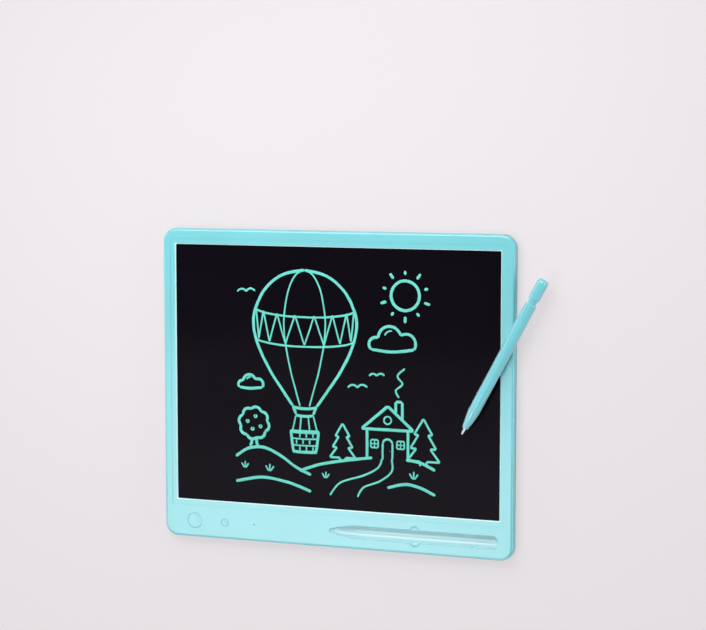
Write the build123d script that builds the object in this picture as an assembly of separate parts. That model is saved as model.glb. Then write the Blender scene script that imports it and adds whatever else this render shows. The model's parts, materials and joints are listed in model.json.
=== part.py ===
from build123d import *
import math
import os

# Sizes are in millimetres. The tablet lies on its back: +X right, +Y to its top edge, +Z out of the screen.
# The origin is the centre of the flat back face.

# Case, a front bezel and a rear cover
case_width = 330
case_height = 282
case_thickness = 9
case_corner_radius = 12
case_wall = 1.8
front_plate = 1.6
back_floor = 1.5
front_edge_radius = 2.4
back_edge_radius = 1.8
parting_height = 4.2
parting_groove_width = 0.4
parting_groove_depth = 0.4
lip_rise = 1.2
lip_thickness = 0.9
lip_clearance = 0.15

# Writing window and the shallow border round it
side_bezel = 12.6
top_bezel = 14.2
window_corner_radius = 1.2
window_chamfer = 0.8
window_chamfer_angle = 45
chin_height = 34.8
border_width = 5.3
border_step = 0.35
border_corner_radius = 3

# Film stack behind the window, from the front: tape, film, crystal layer, film, backing board
film_margin = 3.7
film_corner_radius = 2
tape_thickness = 0.45
film_thickness = 0.3
crystal_thickness = 0.15
crystal_inset = 1.2
board_thickness = 1
tape_overhang = 0.4

# Ribs that carry the backing board
rib_thickness = 1.2
rib_inset = 1.5
rib_columns = 9
rib_rows = 6

# Stylus, a hollow barrel with a plug-in end cap and a hard nib
stylus_length = 153.5
stylus_diameter = 10.2
nib_reach = 6.2
nib_base_radius = 1.2
nib_tip_radius = 0.55
nib_root = 8
nose_length = 16.4
nose_bulge = 0.12
nose_tip_radius = 2.55
nose_round = 0.5
barrel_wall = 1.3
barrel_edge_round = 0.4
cap_length = 19.2
cap_dome_radius = 3.8
neck_length = 4.8
neck_depth = 1.2
spigot_length = 11
stylus_fit = 0.05

# Where the stylus lies across the right side of the bezel
stylus_tip_margin = 44.9
stylus_tip_rise = 109.6
stylus_turn = 62.1
stylus_rest_gap = 0.3

# Stylus slot in the chin
slot_clearance = 0.6
slot_end_gap = 0.8
slot_depth = 6.4
slot_wall = 1
slot_step = 1.2
slot_right_margin = 13.8
slot_rise = 15.6
slot_edge_radius = 0.5
snap_nub_radius = 0.6
snap_nub_length = 2.4
snap_nub_reach = 0.8
snap_nub_margin = 22
scoop_length = 12.6
scoop_width = 19
scoop_depth = 0.9
scoop_margin = 75.3

# Erase key, a wide dished button
erase_key_diameter = 13.6
erase_key_place_share = 0.1325
erase_key_dish = 0.5
erase_key_travel = 0.6

# Lock key, a small dished button
lock_key_diameter = 6.6
lock_key_place_share = 0.44
lock_key_dish = 0.35
lock_key_travel = 0.9

# Sizes that both keys share
key_rise = 15.5
key_clearance = 0.25
key_edge_radius = 0.3
key_rim = 0.7
flange_reach = 0.8
flange_thickness = 1
flange_gap = 0.1

# Status light
led_place_share = 0.7402
led_length = 2
led_width = 1.25
led_height = 0.8
pinhole_radius = 0.65
pipe_clearance = 0.1
pipe_recess = 0.15
pipe_collar_radius = 1.6
pipe_gap = 0.1

# Circuit board and what is soldered to it
pcb_left_margin = 17
pcb_bay_gap = 3.6
pcb_width = 21
pcb_rise = 5.2
pcb_corner_radius = 1
pcb_thickness = 1
standoff_rise = 1.2
standoff_radius = 2.4
pcb_screw_inset = 3
switch_size = 6
switch_height = 1.6
switch_floor = 0.35
switch_corner_radius = 0.5
plunger_radius = 1.7
plunger_clearance = 0.1
plunger_rest_gap = 0.05
dome_thickness = 0.15
dome_radius = 1.5
spring_thickness = 0.15
spring_width = 1.2
spring_reach = 1.4
chip_length = 6
chip_width = 5
chip_height = 1.1
chip_place_share = 0.28
capacitor_length = 2
capacitor_width = 1.25
capacitor_height = 0.9
capacitor_pitch = 4
capacitor_count = 4

# Flexible tail from the film to its socket on the board
tail_width = 8
tail_thickness = 0.2
tail_place_share = 0.61
tail_lap = 2
tail_lead = 1
socket_length = 10
socket_width = 3.2
socket_height = 1.5
socket_grip = 1.6
socket_gap = 0.05
tail_height_on_board = 0.7

# Coin cell, its bay and its contacts
cell_diameter = 20
cell_thickness = 3.2
cell_cap_diameter = 17.6
cell_cap_height = 0.3
cell_rise = 17
cell_clearance = 0.4
cell_door_gap = 0.3
contact_thickness = 0.25
contact_width = 4
contact_gap = 0.15
contact_foot = 3
contact_slack = 0.4
side_contact_height = 1
side_contact_drop = 5
side_contact_gap = 0.05
bay_wall = 1.2
bay_roof = 0.6
bay_headroom = 0.8
bay_plate = 1.2
bay_rim = 1.6

# Battery door on the back, hooked by two tongues and held by one screw
door_offset = 1
door_length = 32
door_width = 25
door_thickness = 1.6
door_corner_radius = 2
door_edge_round = 0.25
door_clearance = 0.2
door_seat_gap = 0.1
tongue_width = 5
tongue_pitch = 14
tongue_reach = 1.6
tongue_thickness = 0.8
tongue_root = 1.2
tongue_gap = 0.1
tongue_swing_room = 1.8
tongue_side_gap = 0.3
door_rib_length = 12
door_rib_thickness = 1
door_rib_pitch = 8
door_rib_gap = 0.1
door_screw_margin = 3.3
door_screw_bore_gap = 0.3
door_boss_radius = 2.6
door_boss_cap = 1

# Screws, one head shape at three sizes
case_screw_radius = 1
case_screw_head_radius = 2
case_screw_head = 1.2
case_screw_sink = 0.5
case_screw_length = 5
door_screw_radius = 0.9
door_screw_head_radius = 2
door_screw_head = 0.9
door_screw_sink = 0.2
door_screw_length = 2.8
pcb_screw_radius = 0.6
pcb_screw_head_radius = 1.5
pcb_screw_head = 0.8
pcb_screw_length = 1.9
thread_clearance = 0.08
head_clearance = 0.25
head_round = 0.25
cross_width_share = 0.3
cross_length_share = 1.3
cross_depth_share = 0.55
nib_round_share = 0.7

# Screw bosses along the edges of the case
boss_radius = 2.5
rear_boss_radius = 3
rear_boss_top = 3.4
boss_gap = 0.75
chin_boss_inset = 11
chin_middle_boss_gap = 0.6
bay_boss_gap = 0.7
chin_middle_boss_inset = 8
side_boss_shares = (-0.18, 0.22)
top_boss_share = 0.3

# Rubber feet in shallow recesses
foot_radius = 4.5
foot_height = 1.5
foot_recess = 0.7
foot_gap = 0.3
foot_round = 0.3
foot_inset_x = 27
foot_inset_y = 20

# How far a cutting tool runs past the face that it opens
overrun = 1

# Heights and places worked out from the sizes above
case_left = -case_width / 2
case_bottom = -case_height / 2
plate_under = case_thickness - front_plate
window_width = case_width - 2 * side_bezel
window_height = case_height - chin_height - top_bezel
window_y = case_bottom + chin_height + window_height / 2
border_floor = case_thickness - border_step
film_top = plate_under - tape_thickness
crystal_top = film_top - film_thickness
rear_film_top = crystal_top - crystal_thickness
board_top = rear_film_top - film_thickness
board_under = board_top - board_thickness
film_width = window_width + 2 * film_margin
film_height = window_height + 2 * film_margin
film_low_y = window_y - film_height / 2

stylus_radius = stylus_diameter / 2
stylus_tip_x = case_width / 2 - stylus_tip_margin
stylus_tip_y = case_bottom + stylus_tip_rise
stylus_axis_z = case_thickness + stylus_radius + stylus_rest_gap
nose_end = nib_reach + nose_length
cap_start = stylus_length - cap_length
barrel_end = cap_start - neck_length

slot_radius = stylus_radius + slot_clearance
slot_nose_radius = nose_tip_radius + slot_clearance
slot_nib_radius = nib_base_radius + slot_clearance
slot_end_round = cap_dome_radius + slot_clearance
slot_length = stylus_length + 2 * slot_end_gap
slot_right = case_width / 2 - slot_right_margin
slot_left = slot_right - slot_length
slot_y = case_bottom + slot_rise
slot_axis_z = case_thickness - slot_depth + slot_radius

boss_inset = case_wall + lip_clearance + lip_thickness + boss_gap + boss_radius
middle_boss_x = slot_left - slot_wall - chin_middle_boss_gap - rear_boss_radius
bay_right = middle_boss_x - rear_boss_radius - bay_boss_gap
door_x = bay_right - bay_rim - door_clearance - door_length / 2
door_hinge_x = door_x - door_length / 2
bay_left = door_hinge_x - door_clearance - bay_rim
cell_x = door_x - door_offset
cell_y = case_bottom + cell_rise

pcb_left = case_left + pcb_left_margin
pcb_right = bay_left - pcb_bay_gap
pcb_length = pcb_right - pcb_left
pcb_x = (pcb_left + pcb_right) / 2
pcb_y = case_bottom + pcb_rise + pcb_width / 2
pcb_under = back_floor + standoff_rise
pcb_top = pcb_under + pcb_thickness
pcb_screw_places = [
    (pcb_x + side * (pcb_length / 2 - pcb_screw_inset), pcb_y + end * (pcb_width / 2 - pcb_screw_inset))
    for side in (-1, 1)
    for end in (-1, 1)
]

key_y = case_bottom + key_rise
erase_x = pcb_left + erase_key_place_share * pcb_length
lock_x = pcb_left + lock_key_place_share * pcb_length
led_x = pcb_left + led_place_share * pcb_length
chip_x = pcb_left + chip_place_share * pcb_length
chip_y = pcb_y + pcb_width / 2 - pcb_screw_inset
flange_top = plate_under - flange_gap
flange_under = flange_top - flange_thickness
switch_top = pcb_top + switch_height
tail_x = pcb_left + tail_place_share * pcb_length
socket_y = pcb_y + pcb_width / 2 - socket_width / 2

cell_radius = cell_diameter / 2
pocket_top = door_thickness + door_seat_gap
cell_under = door_thickness + cell_door_gap
cell_top = cell_under + cell_thickness
bay_plate_top = pocket_top + bay_plate
well_radius = cell_radius + cell_clearance
well_top = cell_top + bay_headroom

door_screw_x = door_hinge_x + door_length - door_screw_margin
door_bore_top = door_screw_sink + door_screw_head + door_screw_length + door_screw_bore_gap

boss_places = [
    *[(side * (case_width / 2 - chin_boss_inset), case_bottom + chin_boss_inset) for side in (-1, 1)],
    *[
        (side * (case_width / 2 - boss_inset), share * case_height)
        for side in (-1, 1)
        for share in side_boss_shares
    ],
    *[(side * top_boss_share * case_width, case_height / 2 - boss_inset) for side in (-1, 1)],
    (middle_boss_x, case_bottom + chin_middle_boss_inset),
]
foot_places = [
    (side * (case_width / 2 - foot_inset_x), end * (case_height / 2 - foot_inset_y))
    for side in (-1, 1)
    for end in (-1, 1)
]


def slab(width, depth, low, high, x=0, y=0, radius=0):
    """A flat block between two heights, with its upright corners rounded if a radius is given."""
    outline = RectangleRounded(width, depth, radius) if radius else Rectangle(width, depth)
    return Pos(x, y, low) * extrude(outline, amount=high - low)


def ring(width, depth, thickness, low, high, x=0, y=0, radius=0):
    """A rectangular wall that follows an outline inwards by its thickness."""
    inner_radius = max(radius - thickness, 0)
    inner = slab(width - 2 * thickness, depth - 2 * thickness, low, high, x, y, inner_radius)
    return slab(width, depth, low, high, x, y, radius) - inner


def disc(radius, low, high, x=0, y=0):
    """An upright round between two heights."""
    return Pos(x, y, low) * extrude(Circle(radius), amount=high - low)


def turned(points):
    """A solid turned about Z from points of radius and height."""
    return revolve(Plane.XZ * make_face(Polyline(*points, close=True)), axis=Axis.Z)


def turned_on_x(points):
    """A solid turned about X from points of length and radius."""
    return revolve(make_face(Polyline(*points, close=True)), axis=Axis.X)


def circle_edges(part, radius, tolerance_share=0.001):
    """The round edges of one radius."""
    round_edges = part.edges().filter_by(GeomType.CIRCLE)
    return round_edges.filter_by(lambda edge: abs(edge.radius - radius) < tolerance_share * radius)


def screw(radius, head_radius, head, length):
    """A cross-head screw whose head starts at height zero and whose shank points up."""
    body = disc(head_radius, 0, head)
    body = fillet(body.edges().group_by(Axis.Z)[0], head_round)
    body += disc(radius, head, head + length)
    cross_width = cross_width_share * head_radius
    cross_length = cross_length_share * head_radius
    cross_depth = cross_depth_share * head
    body -= slab(cross_width, cross_length, -overrun, cross_depth)
    body -= slab(cross_length, cross_width, -overrun, cross_depth)
    return body


def slot_half_outline(grow=0):
    """Half of the slot seen from above, from its axis outwards: nib channel, nose, barrel and blunt end."""
    left = -grow
    right = slot_length + grow
    nib = slot_nib_radius + grow
    body = slot_radius + grow
    end = slot_end_round + grow
    diagonal = math.sqrt(0.5)
    left_end = ThreePointArc((left, 0), (left + nib * (1 - diagonal), nib * diagonal), (left + nib, nib))
    edge = Polyline(
        (left + nib, nib),
        (nib_reach - slot_step, nib),
        (nib_reach, slot_nose_radius + grow),
        (slot_end_gap + nose_end, body),
        (right - end, body),
    )
    bend = (right - end * (1 - diagonal), body - end * (1 - diagonal))
    right_end = ThreePointArc((right - end, body), bend, (right, body - end))
    return make_face([left_end, edge, right_end, Polyline((right, body - end), (right, 0), (left, 0))])


def slot_solid(grow, top):
    """The stylus shape with room round it: round below its axis, straight up to a height above it."""
    half = slot_half_outline(grow)
    cradle = revolve(half, axis=Axis.X)
    upright = extrude(half + mirror(half, about=Plane.XZ), amount=top - slot_axis_z)
    lower = cradle & Pos(slot_length / 2, 0, -(slot_radius + grow + overrun) / 2) * Box(
        slot_length + 2 * (grow + overrun), 2 * (slot_radius + grow + overrun), slot_radius + grow + overrun
    )
    return Pos(slot_left, slot_y, slot_axis_z) * (lower + upright)


def finger_scoop():
    """A shallow barrel-shaped hollow across the slot, for a fingertip."""
    roll_radius = (scoop_length**2 / 4 + scoop_depth**2) / (2 * scoop_depth)
    half = scoop_width / 2
    rim = roll_radius - scoop_depth
    profile = make_face(
        [
            Line((0, -half), (rim, -half)),
            ThreePointArc((rim, -half), (roll_radius, 0), (rim, half)),
            Line((rim, half), (0, half)),
            Line((0, half), (0, -half)),
        ]
    )
    barrel = revolve(profile, axis=Axis.Y)
    x = case_width / 2 - slot_right_margin - scoop_margin
    return Pos(x, slot_y, case_thickness + rim) * barrel


def front_bezel():
    """The front frame with its chin: window, stylus slot, key holes and screw bosses."""
    body = slab(case_width, case_height, parting_height, case_thickness, radius=case_corner_radius)
    body = fillet(body.faces().sort_by(Axis.Z)[-1].edges(), front_edge_radius)
    inner_width = case_width - 2 * case_wall
    inner_height = case_height - 2 * case_wall
    inner_radius = case_corner_radius - case_wall
    body -= slab(inner_width, inner_height, parting_height, plate_under, radius=inner_radius)
    body += slot_solid(slot_wall, plate_under + front_plate / 2)
    body -= slot_solid(0, case_thickness + overrun)
    slot_rim = body.edges().filter_by(lambda edge: on_slot_rim(edge))
    body = fillet(slot_rim, slot_edge_radius)
    body -= finger_scoop()
    for side in (-1, 1):
        nub_y = slot_y + side * (slot_radius + snap_nub_radius - snap_nub_reach)
        body += Pos(slot_right - snap_nub_margin, nub_y, case_thickness - snap_nub_radius) * snap_nub()
    body -= slab(
        window_width + 2 * border_width,
        window_height + 2 * border_width,
        border_floor,
        case_thickness + overrun,
        y=window_y,
        radius=border_corner_radius,
    )
    body -= slab(
        window_width,
        window_height,
        plate_under - overrun,
        case_thickness + overrun,
        y=window_y,
        radius=window_corner_radius,
    )
    flare = extrude(
        RectangleRounded(window_width, window_height, window_corner_radius),
        amount=window_chamfer + overrun,
        taper=-window_chamfer_angle,
    )
    body -= Pos(0, window_y, border_floor - window_chamfer) * flare
    for x, radius in ((erase_x, erase_key_diameter / 2), (lock_x, lock_key_diameter / 2)):
        body -= disc(radius + key_clearance, plate_under - overrun, case_thickness + overrun, x, key_y)
    body -= disc(pinhole_radius, plate_under - overrun, case_thickness + overrun, led_x, key_y)
    for x, y in boss_places:
        body += disc(boss_radius, rear_boss_top, plate_under, x, y)
        bore_top = case_screw_sink + case_screw_head + case_screw_length + head_clearance
        body -= disc(case_screw_radius + thread_clearance, rear_boss_top, bore_top, x, y)
    return body


def snap_nub():
    """A short round-ended bar along X, that the stylus snaps past."""
    bar = Rot(0, 90, 0) * Cylinder(snap_nub_radius, snap_nub_length)
    for side in (-1, 1):
        bar += Pos(side * snap_nub_length / 2, 0, 0) * Sphere(snap_nub_radius)
    return bar


def on_slot_rim(edge):
    """True for an edge of the slot's mouth on the bezel's top face."""
    middle = edge @ 0.5
    on_top = abs(middle.Z - case_thickness) < border_step / 2
    inside = slot_left - slot_edge_radius < middle.X < slot_right + slot_edge_radius
    return on_top and inside and abs(middle.Y - slot_y) < slot_radius + slot_edge_radius


def board_ribs():
    """The grid of ribs and the frame under the backing board."""
    reach_x = film_width - 2 * rib_inset
    reach_y = film_height - 2 * rib_inset
    ribs = ring(reach_x, reach_y, rib_thickness, back_floor, board_under, y=window_y)
    for column in range(1, rib_columns + 1):
        x = -reach_x / 2 + reach_x * column / (rib_columns + 1)
        ribs += slab(rib_thickness, reach_y, back_floor, board_under, x, window_y)
    for row in range(1, rib_rows + 1):
        y = window_y - reach_y / 2 + reach_y * row / (rib_rows + 1)
        ribs += slab(reach_x, rib_thickness, back_floor, board_under, 0, y)
    return ribs


def rear_cover():
    """The back tray: floor, lip, ribs, bosses, board standoffs and the battery bay."""
    body = slab(case_width, case_height, 0, parting_height, radius=case_corner_radius)
    body = fillet(body.faces().sort_by(Axis.Z)[0].edges(), back_edge_radius)
    inner_width = case_width - 2 * case_wall
    inner_height = case_height - 2 * case_wall
    inner_radius = case_corner_radius - case_wall
    body -= slab(inner_width, inner_height, back_floor, parting_height, radius=inner_radius)
    body -= ring(
        case_width + 2 * overrun,
        case_height + 2 * overrun,
        overrun + parting_groove_depth,
        parting_height - parting_groove_width,
        parting_height + overrun,
        radius=case_corner_radius + overrun,
    )
    lip_root = lip_clearance + lip_thickness
    body += ring(inner_width, inner_height, lip_root, back_floor, parting_height, radius=inner_radius)
    body += ring(
        inner_width - 2 * lip_clearance,
        inner_height - 2 * lip_clearance,
        lip_thickness,
        parting_height,
        parting_height + lip_rise,
        radius=inner_radius - lip_clearance,
    )
    body += board_ribs()
    for x, y in boss_places:
        body += disc(rear_boss_radius, back_floor, rear_boss_top, x, y)
    for x, y in pcb_screw_places:
        body += disc(standoff_radius, back_floor, pcb_under, x, y)
        body -= disc(pcb_screw_radius + thread_clearance, back_floor, pcb_under, x, y)
    body = battery_bay(body)
    for x, y in boss_places:
        head_top = case_screw_sink + case_screw_head
        body -= disc(case_screw_head_radius + head_clearance, 0, head_top, x, y)
        body -= disc(case_screw_radius + head_clearance, head_top, rear_boss_top, x, y)
    for x, y in foot_places:
        body -= disc(foot_radius + foot_gap, 0, foot_recess, x, y)
    return body


def battery_bay(body):
    """Adds the raised plate, the cell's well and the screw boss to the tray, and opens the door's pocket."""
    rim = door_clearance + bay_rim
    body += slab(door_length + 2 * rim, door_width + 2 * rim, 0, bay_plate_top, door_x, cell_y)
    body += disc(well_radius + bay_wall, bay_plate_top, well_top + bay_roof, cell_x, cell_y)
    boss_top = door_bore_top + door_boss_cap
    body += disc(door_boss_radius, bay_plate_top, boss_top, door_screw_x, cell_y)
    body -= disc(well_radius, 0, well_top, cell_x, cell_y)
    body -= slab(
        door_length + 2 * door_clearance,
        door_width + 2 * door_clearance,
        0,
        pocket_top,
        door_x,
        cell_y,
        door_corner_radius + door_clearance,
    )
    body -= disc(door_screw_radius + door_screw_bore_gap, 0, door_bore_top, door_screw_x, cell_y)
    slot_low = door_hinge_x - tongue_reach - tongue_swing_room / 2
    slot_high = door_hinge_x + tongue_root + tongue_swing_room
    for side in (-1, 1):
        body -= slab(
            slot_high - slot_low,
            tongue_width + 2 * tongue_side_gap,
            back_floor,
            bay_plate_top + overrun,
            (slot_low + slot_high) / 2,
            cell_y + side * tongue_pitch / 2,
        )
    arm_low = cell_top
    body -= slab(
        well_radius + bay_wall + overrun,
        contact_width + 2 * contact_slack,
        arm_low,
        well_top,
        cell_x - (well_radius + bay_wall + overrun) / 2,
        cell_y,
    )
    lead_y = cell_y - side_contact_drop
    lead_low = pcb_top - contact_slack
    lead_high = pcb_top + contact_gap + side_contact_height + contact_slack
    body -= slab(
        well_radius + bay_wall + overrun,
        contact_thickness + 2 * contact_slack,
        lead_low,
        lead_high,
        cell_x - (well_radius + bay_wall + overrun) / 2,
        lead_y,
    )
    return body


def film_sheet(low, high, inset=0):
    """One full-size layer of the film stack."""
    radius = max(film_corner_radius - inset, 0)
    return slab(film_width - 2 * inset, film_height - 2 * inset, low, high, y=window_y, radius=radius)


def backing_board():
    """The stiff board behind the film, notched for the tail."""
    notch_width = tail_width + 2 * tail_lead
    notch_depth = 2 * (tail_lap + tail_lead)
    notch = slab(notch_width, notch_depth, board_under, board_top, tail_x, film_low_y)
    return film_sheet(board_under, board_top) - notch


def film_tape_frame():
    """The adhesive frame between the film and the bezel."""
    tape_width = film_margin - tape_overhang
    return ring(
        film_width, film_height, tape_width, film_top, plate_under, y=window_y, radius=film_corner_radius
    )


def flex_tail():
    """The thin tail that runs from under the film down into its socket."""
    high = board_top
    low = pcb_top + tail_height_on_board + tail_thickness
    start = film_low_y + tail_lap
    bend = film_low_y - tail_lead
    mouth = socket_y + socket_width / 2
    inside = mouth - socket_grip
    top_line = [(start, high), (bend, high), (mouth + tail_lead / 2, low), (inside, low)]
    under_line = [(y, z - tail_thickness) for y, z in reversed(top_line)]
    side = make_face(Polyline(*top_line, *under_line, close=True))
    return Pos(tail_x - tail_width / 2, 0, 0) * extrude(Plane.YZ * side, amount=tail_width)


def flex_socket():
    """The socket that clamps the tail, with a mouth on its upper side."""
    body = slab(socket_length, socket_width, pcb_top, pcb_top + socket_height, tail_x, socket_y)
    mouth = slab(
        tail_width + 2 * socket_gap,
        2 * (socket_grip + socket_gap),
        pcb_top + tail_height_on_board - socket_gap,
        pcb_top + tail_height_on_board + tail_thickness + socket_gap,
        tail_x,
        socket_y + socket_width / 2,
    )
    return body - mouth


def circuit_board():
    """The control board with its screw holes."""
    body = slab(pcb_length, pcb_width, pcb_under, pcb_top, pcb_x, pcb_y, pcb_corner_radius)
    for x, y in pcb_screw_places:
        body -= disc(pcb_screw_radius + head_clearance, pcb_under, pcb_top, x, y)
    return body


def board_screws():
    """The four small screws of the control board, heads up."""
    one = screw(pcb_screw_radius, pcb_screw_head_radius, pcb_screw_head, pcb_screw_length)
    flipped = Pos(0, 0, pcb_top + pcb_screw_head) * Rot(180, 0, 0) * one
    return Compound([Pos(x, y, 0) * flipped for x, y in pcb_screw_places])


def key_cap(diameter, dish, x):
    """A dished key that stands flush in its hole, with a flange that keeps it in."""
    radius = diameter / 2
    shank = turned([(0, flange_under), (radius, flange_under), (radius, case_thickness), (0, case_thickness)])
    shank = fillet(circle_edges(shank, radius).sort_by(Axis.Z)[-1], key_edge_radius)
    dish_rim = radius - key_rim
    dish_radius = (dish_rim**2 + dish**2) / (2 * dish)
    shank -= Pos(0, 0, case_thickness + dish_radius - dish) * Sphere(dish_radius)
    flange = disc(radius + flange_reach, flange_under, flange_top)
    return Pos(x, key_y, 0) * (shank + flange)


def switch_body(x):
    """A small square switch housing with a round well for its plunger."""
    body = slab(switch_size, switch_size, pcb_top, switch_top, x, key_y, switch_corner_radius)
    return body - disc(plunger_radius + plunger_clearance, pcb_top + switch_floor, switch_top, x, key_y)


def switch_plunger(x, travel):
    """The plunger that its key pushes down."""
    low = pcb_top + switch_floor + travel + plunger_rest_gap
    return disc(plunger_radius, low, flange_under, x, key_y)


def snap_dome():
    """The thin metal dome under the erase plunger."""
    low = pcb_top + switch_floor
    rise = erase_key_travel - dome_thickness
    sphere_radius = (dome_radius**2 + rise**2) / (2 * rise)
    centre = Pos(erase_x, key_y, low + rise - sphere_radius)
    shell = centre * Sphere(sphere_radius + dome_thickness) - centre * Sphere(sphere_radius)
    return shell & disc(dome_radius, low, low + erase_key_travel, erase_x, key_y)


def lock_spring():
    """The small bowed leaf spring under the lock plunger."""
    low = pcb_top + switch_floor
    rise = lock_key_travel - spring_thickness
    bow_radius = (spring_reach**2 + rise**2) / (2 * rise)
    bow = Pos(0, low + rise - bow_radius) * (Circle(bow_radius + spring_thickness) - Circle(bow_radius))
    strip = Pos(lock_x, key_y, 0) * extrude(Plane.XZ * bow, amount=spring_width / 2, both=True)
    return strip & slab(2 * bow_radius, spring_width, low, low + lock_key_travel, lock_x, key_y)


def light_pipe():
    """The clear pin in the bezel's pinhole, over the light."""
    pipe_radius = pinhole_radius - pipe_clearance
    low = pcb_top + led_height + pipe_gap
    collar = disc(pipe_collar_radius, low, plate_under, led_x, key_y)
    return collar + disc(pipe_radius, plate_under, case_thickness - pipe_recess, led_x, key_y)


def board_capacitors():
    """A row of small capacitors beside the chip."""
    y = pcb_y - pcb_width / 2 + pcb_screw_inset
    places = [chip_x + chip_length + capacitor_pitch * number for number in range(capacitor_count)]
    top = pcb_top + capacitor_height
    return Compound([slab(capacitor_length, capacitor_width, pcb_top, top, x, y) for x in places])


def coin_cell():
    """The coin cell, its wide can towards the door."""
    cap_radius = cell_cap_diameter / 2
    shoulder = cell_top - cell_cap_height
    points = [
        (0, cell_under),
        (cell_radius, cell_under),
        (cell_radius, shoulder),
        (cap_radius, shoulder),
        (cap_radius, cell_top),
        (0, cell_top),
    ]
    return Pos(cell_x, cell_y, 0) * turned(points)


def negative_contact():
    """The spring strip from the board over the top of the cell."""
    foot_left = pcb_right - contact_foot - contact_gap
    arm = cell_top + contact_gap
    well_edge = cell_x - well_radius
    bottom_line = [
        (foot_left, pcb_top),
        (pcb_right - contact_gap, pcb_top),
        (pcb_right + contact_foot, arm),
        (well_edge + contact_foot, arm),
        (cell_x - contact_foot, cell_top),
        (cell_x, cell_top),
    ]
    top_line = [(x, z + contact_thickness) for x, z in reversed(bottom_line)]
    side = make_face(Polyline(*bottom_line, *top_line, close=True))
    strip = extrude(Plane.XZ * side, amount=contact_width)
    return Pos(0, cell_y + contact_width / 2, 0) * strip


def positive_contact():
    """The strip from the board to the side of the cell, curled round its can."""
    low = pcb_top + contact_gap
    high = low + side_contact_height
    lead_y = cell_y - side_contact_drop
    inner = cell_radius + side_contact_gap
    band = disc(inner + contact_thickness, low, high, cell_x, cell_y) - disc(inner, low, high, cell_x, cell_y)
    touch_x = cell_x - math.sqrt((inner + contact_thickness / 2) ** 2 - side_contact_drop**2)
    curl = band & slab(cell_diameter, cell_diameter, low, high, touch_x - cell_radius, lead_y - cell_radius)
    foot_left = pcb_right - contact_foot
    lead = slab(touch_x - foot_left, contact_thickness, low, high, (touch_x + foot_left) / 2, lead_y)
    foot = slab(contact_foot, contact_foot, pcb_top, low, foot_left + contact_foot / 2, lead_y)
    return curl + lead + foot


def battery_door():
    """The rear door: plate, two hook tongues, cell ribs and the seat of its screw."""
    body = slab(door_length, door_width, 0, door_thickness, door_x, cell_y, door_corner_radius)
    body = fillet(body.faces().sort_by(Axis.Z)[0].edges(), door_edge_round)
    tongue_low = back_floor + tongue_gap
    tongue_top = tongue_low + tongue_thickness
    for side in (-1, 1):
        y = cell_y + side * tongue_pitch / 2
        root_x = door_hinge_x + tongue_root / 2
        body += slab(tongue_root, tongue_width, back_floor, tongue_top, root_x, y)
        reach = tongue_reach + tongue_root
        reach_x = door_hinge_x - tongue_reach + reach / 2
        body += slab(reach, tongue_width, tongue_low, tongue_top, reach_x, y)
        rib_y = cell_y + side * door_rib_pitch / 2
        rib_top = cell_under - door_rib_gap
        body += slab(door_rib_length, door_rib_thickness, door_thickness, rib_top, cell_x, rib_y)
    head_top = door_screw_sink + door_screw_head
    body -= disc(door_screw_head_radius + head_clearance, 0, head_top, door_screw_x, cell_y)
    body -= disc(door_screw_radius + thread_clearance, head_top, door_thickness, door_screw_x, cell_y)
    return body


def door_screw():
    """The captive screw of the battery door."""
    one = screw(door_screw_radius, door_screw_head_radius, door_screw_head, door_screw_length)
    return Pos(door_screw_x, cell_y, door_screw_sink) * one


def case_screws():
    """The screws that hold the two shells together."""
    one = screw(case_screw_radius, case_screw_head_radius, case_screw_head, case_screw_length)
    return Compound([Pos(x, y, case_screw_sink) * one for x, y in boss_places])


def rubber_feet():
    """Four round feet in their recesses."""
    low = foot_recess - foot_height
    foot = disc(foot_radius, low, foot_recess)
    foot = fillet(foot.edges().group_by(Axis.Z)[0], foot_round)
    return Compound([Pos(x, y, 0) * foot for x, y in foot_places])


def laid(piece):
    """Lays a stylus piece, made along X from its tip, across the bezel."""
    return Pos(stylus_tip_x, stylus_tip_y, stylus_axis_z) * Rot(0, 0, stylus_turn) * piece


def stylus_barrel():
    """The hollow barrel with its tapered nose."""
    middle = (nib_reach + nose_length / 2, (nose_tip_radius + stylus_radius) / 2 + nose_bulge)
    profile = make_face(
        [
            Line((nib_reach, 0), (nib_reach, nose_tip_radius)),
            ThreePointArc((nib_reach, nose_tip_radius), middle, (nose_end, stylus_radius)),
            Polyline((nose_end, stylus_radius), (barrel_end, stylus_radius), (barrel_end, 0), (nib_reach, 0)),
        ]
    )
    body = revolve(profile, axis=Axis.X)
    body = fillet(circle_edges(body, nose_tip_radius), nose_round)
    body = fillet(circle_edges(body, stylus_radius).sort_by(Axis.X)[-1], barrel_edge_round)
    bore_radius = stylus_radius - barrel_wall
    bore = turned_on_x([(nose_end, 0), (nose_end, bore_radius), (barrel_end, bore_radius), (barrel_end, 0)])
    nib_bore = nib_base_radius + stylus_fit
    seat_end = nib_reach + nib_root + stylus_fit
    seat = turned_on_x([(nib_reach, 0), (nib_reach, nib_bore), (seat_end, nib_bore), (seat_end, 0)])
    return laid(body - bore - seat)


def stylus_nib():
    """The hard nib: a slightly tapered point with a root inside the nose."""
    body = turned_on_x(
        [
            (0, 0),
            (0, nib_tip_radius),
            (nib_reach, nib_base_radius),
            (nib_reach + nib_root, nib_base_radius),
            (nib_reach + nib_root, 0),
        ]
    )
    body = fillet(circle_edges(body, nib_tip_radius), nib_tip_radius * nib_round_share)
    return laid(body)


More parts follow.
